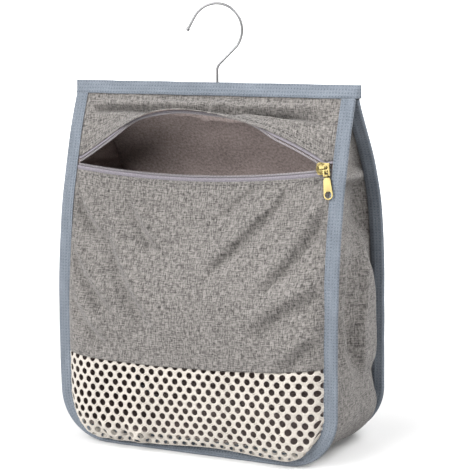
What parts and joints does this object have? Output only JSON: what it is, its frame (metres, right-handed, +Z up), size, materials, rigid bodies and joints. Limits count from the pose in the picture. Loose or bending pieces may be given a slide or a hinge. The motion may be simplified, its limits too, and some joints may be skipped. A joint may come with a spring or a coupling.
{
  "type": "peg bag",
  "caption": "Hanging cloth peg bag with bound edges, a zipped mouth, a net window at its foot and a swivelling wire hook.",
  "frame": {"origin": "on the floor, at the middle of the bag's plan", "axes": "+Z up towards the hook, front with the zip and net towards -Y, +X to the viewer's right"},
  "size_m": [0.292, 0.1502, 0.4152],
  "materials": {
    "cloth": "woven melange",
    "binding": "woven tape",
    "net": "knitted net",
    "zip_tape": "woven tape",
    "zip_coil": "satin",
    "brass": "polished",
    "steel": "satin",
    "wood": "sanded"
  },
  "bodies": {
    "bag": {"hanger_bar": "wood", "top_binding": "binding", "front_binding": "binding", "back_binding": "binding", "back_panel": "cloth", "gusset": "cloth", "front_upper_panel": "cloth", "front_lower_panel": "cloth", "mesh_panel": "net", "zip_tape_upper": "zip_tape", "zip_tape_lower": "zip_tape", "zip_coil_upper": "zip_coil", "zip_coil_lower": "zip_coil"},
    "hook": {"hook": "steel", "hook_washer": "steel"},
    "slider": {"zip_slider": "brass"},
    "link": {"pull_link": "brass"},
    "tab": {"pull_tab": "brass"}
  },
  "joints": [
    {"name": "hook_swivel", "type": "hinge", "parent": "bag", "child": "hook", "pos_m": [0.0045, -0.006, 0.342], "axis": [0, 0, 1], "continuous": true},
    {"name": "zip_run", "type": "hinge", "parent": "bag", "child": "slider", "pos_m": [-0.018, 0.22095, 1.14345], "axis": [0, 0.9601, -0.2797], "range_deg": [0, 14.8], "deforming": ["zip_coil_upper", "zip_tape_upper"]},
    {"name": "pull_swing", "type": "hinge", "parent": "slider", "child": "link", "pos_m": [0.12466, -0.0371, 0.27117], "axis": [0, -0.9601, 0.2797], "range_deg": [-20, 79]},
    {"name": "pull_lift", "type": "hinge", "parent": "link", "child": "tab", "pos_m": [0.12619, -0.03915, 0.26412], "axis": [-0.9792, -0.0568, -0.1949], "range_deg": [0, 135]}
  ]
}
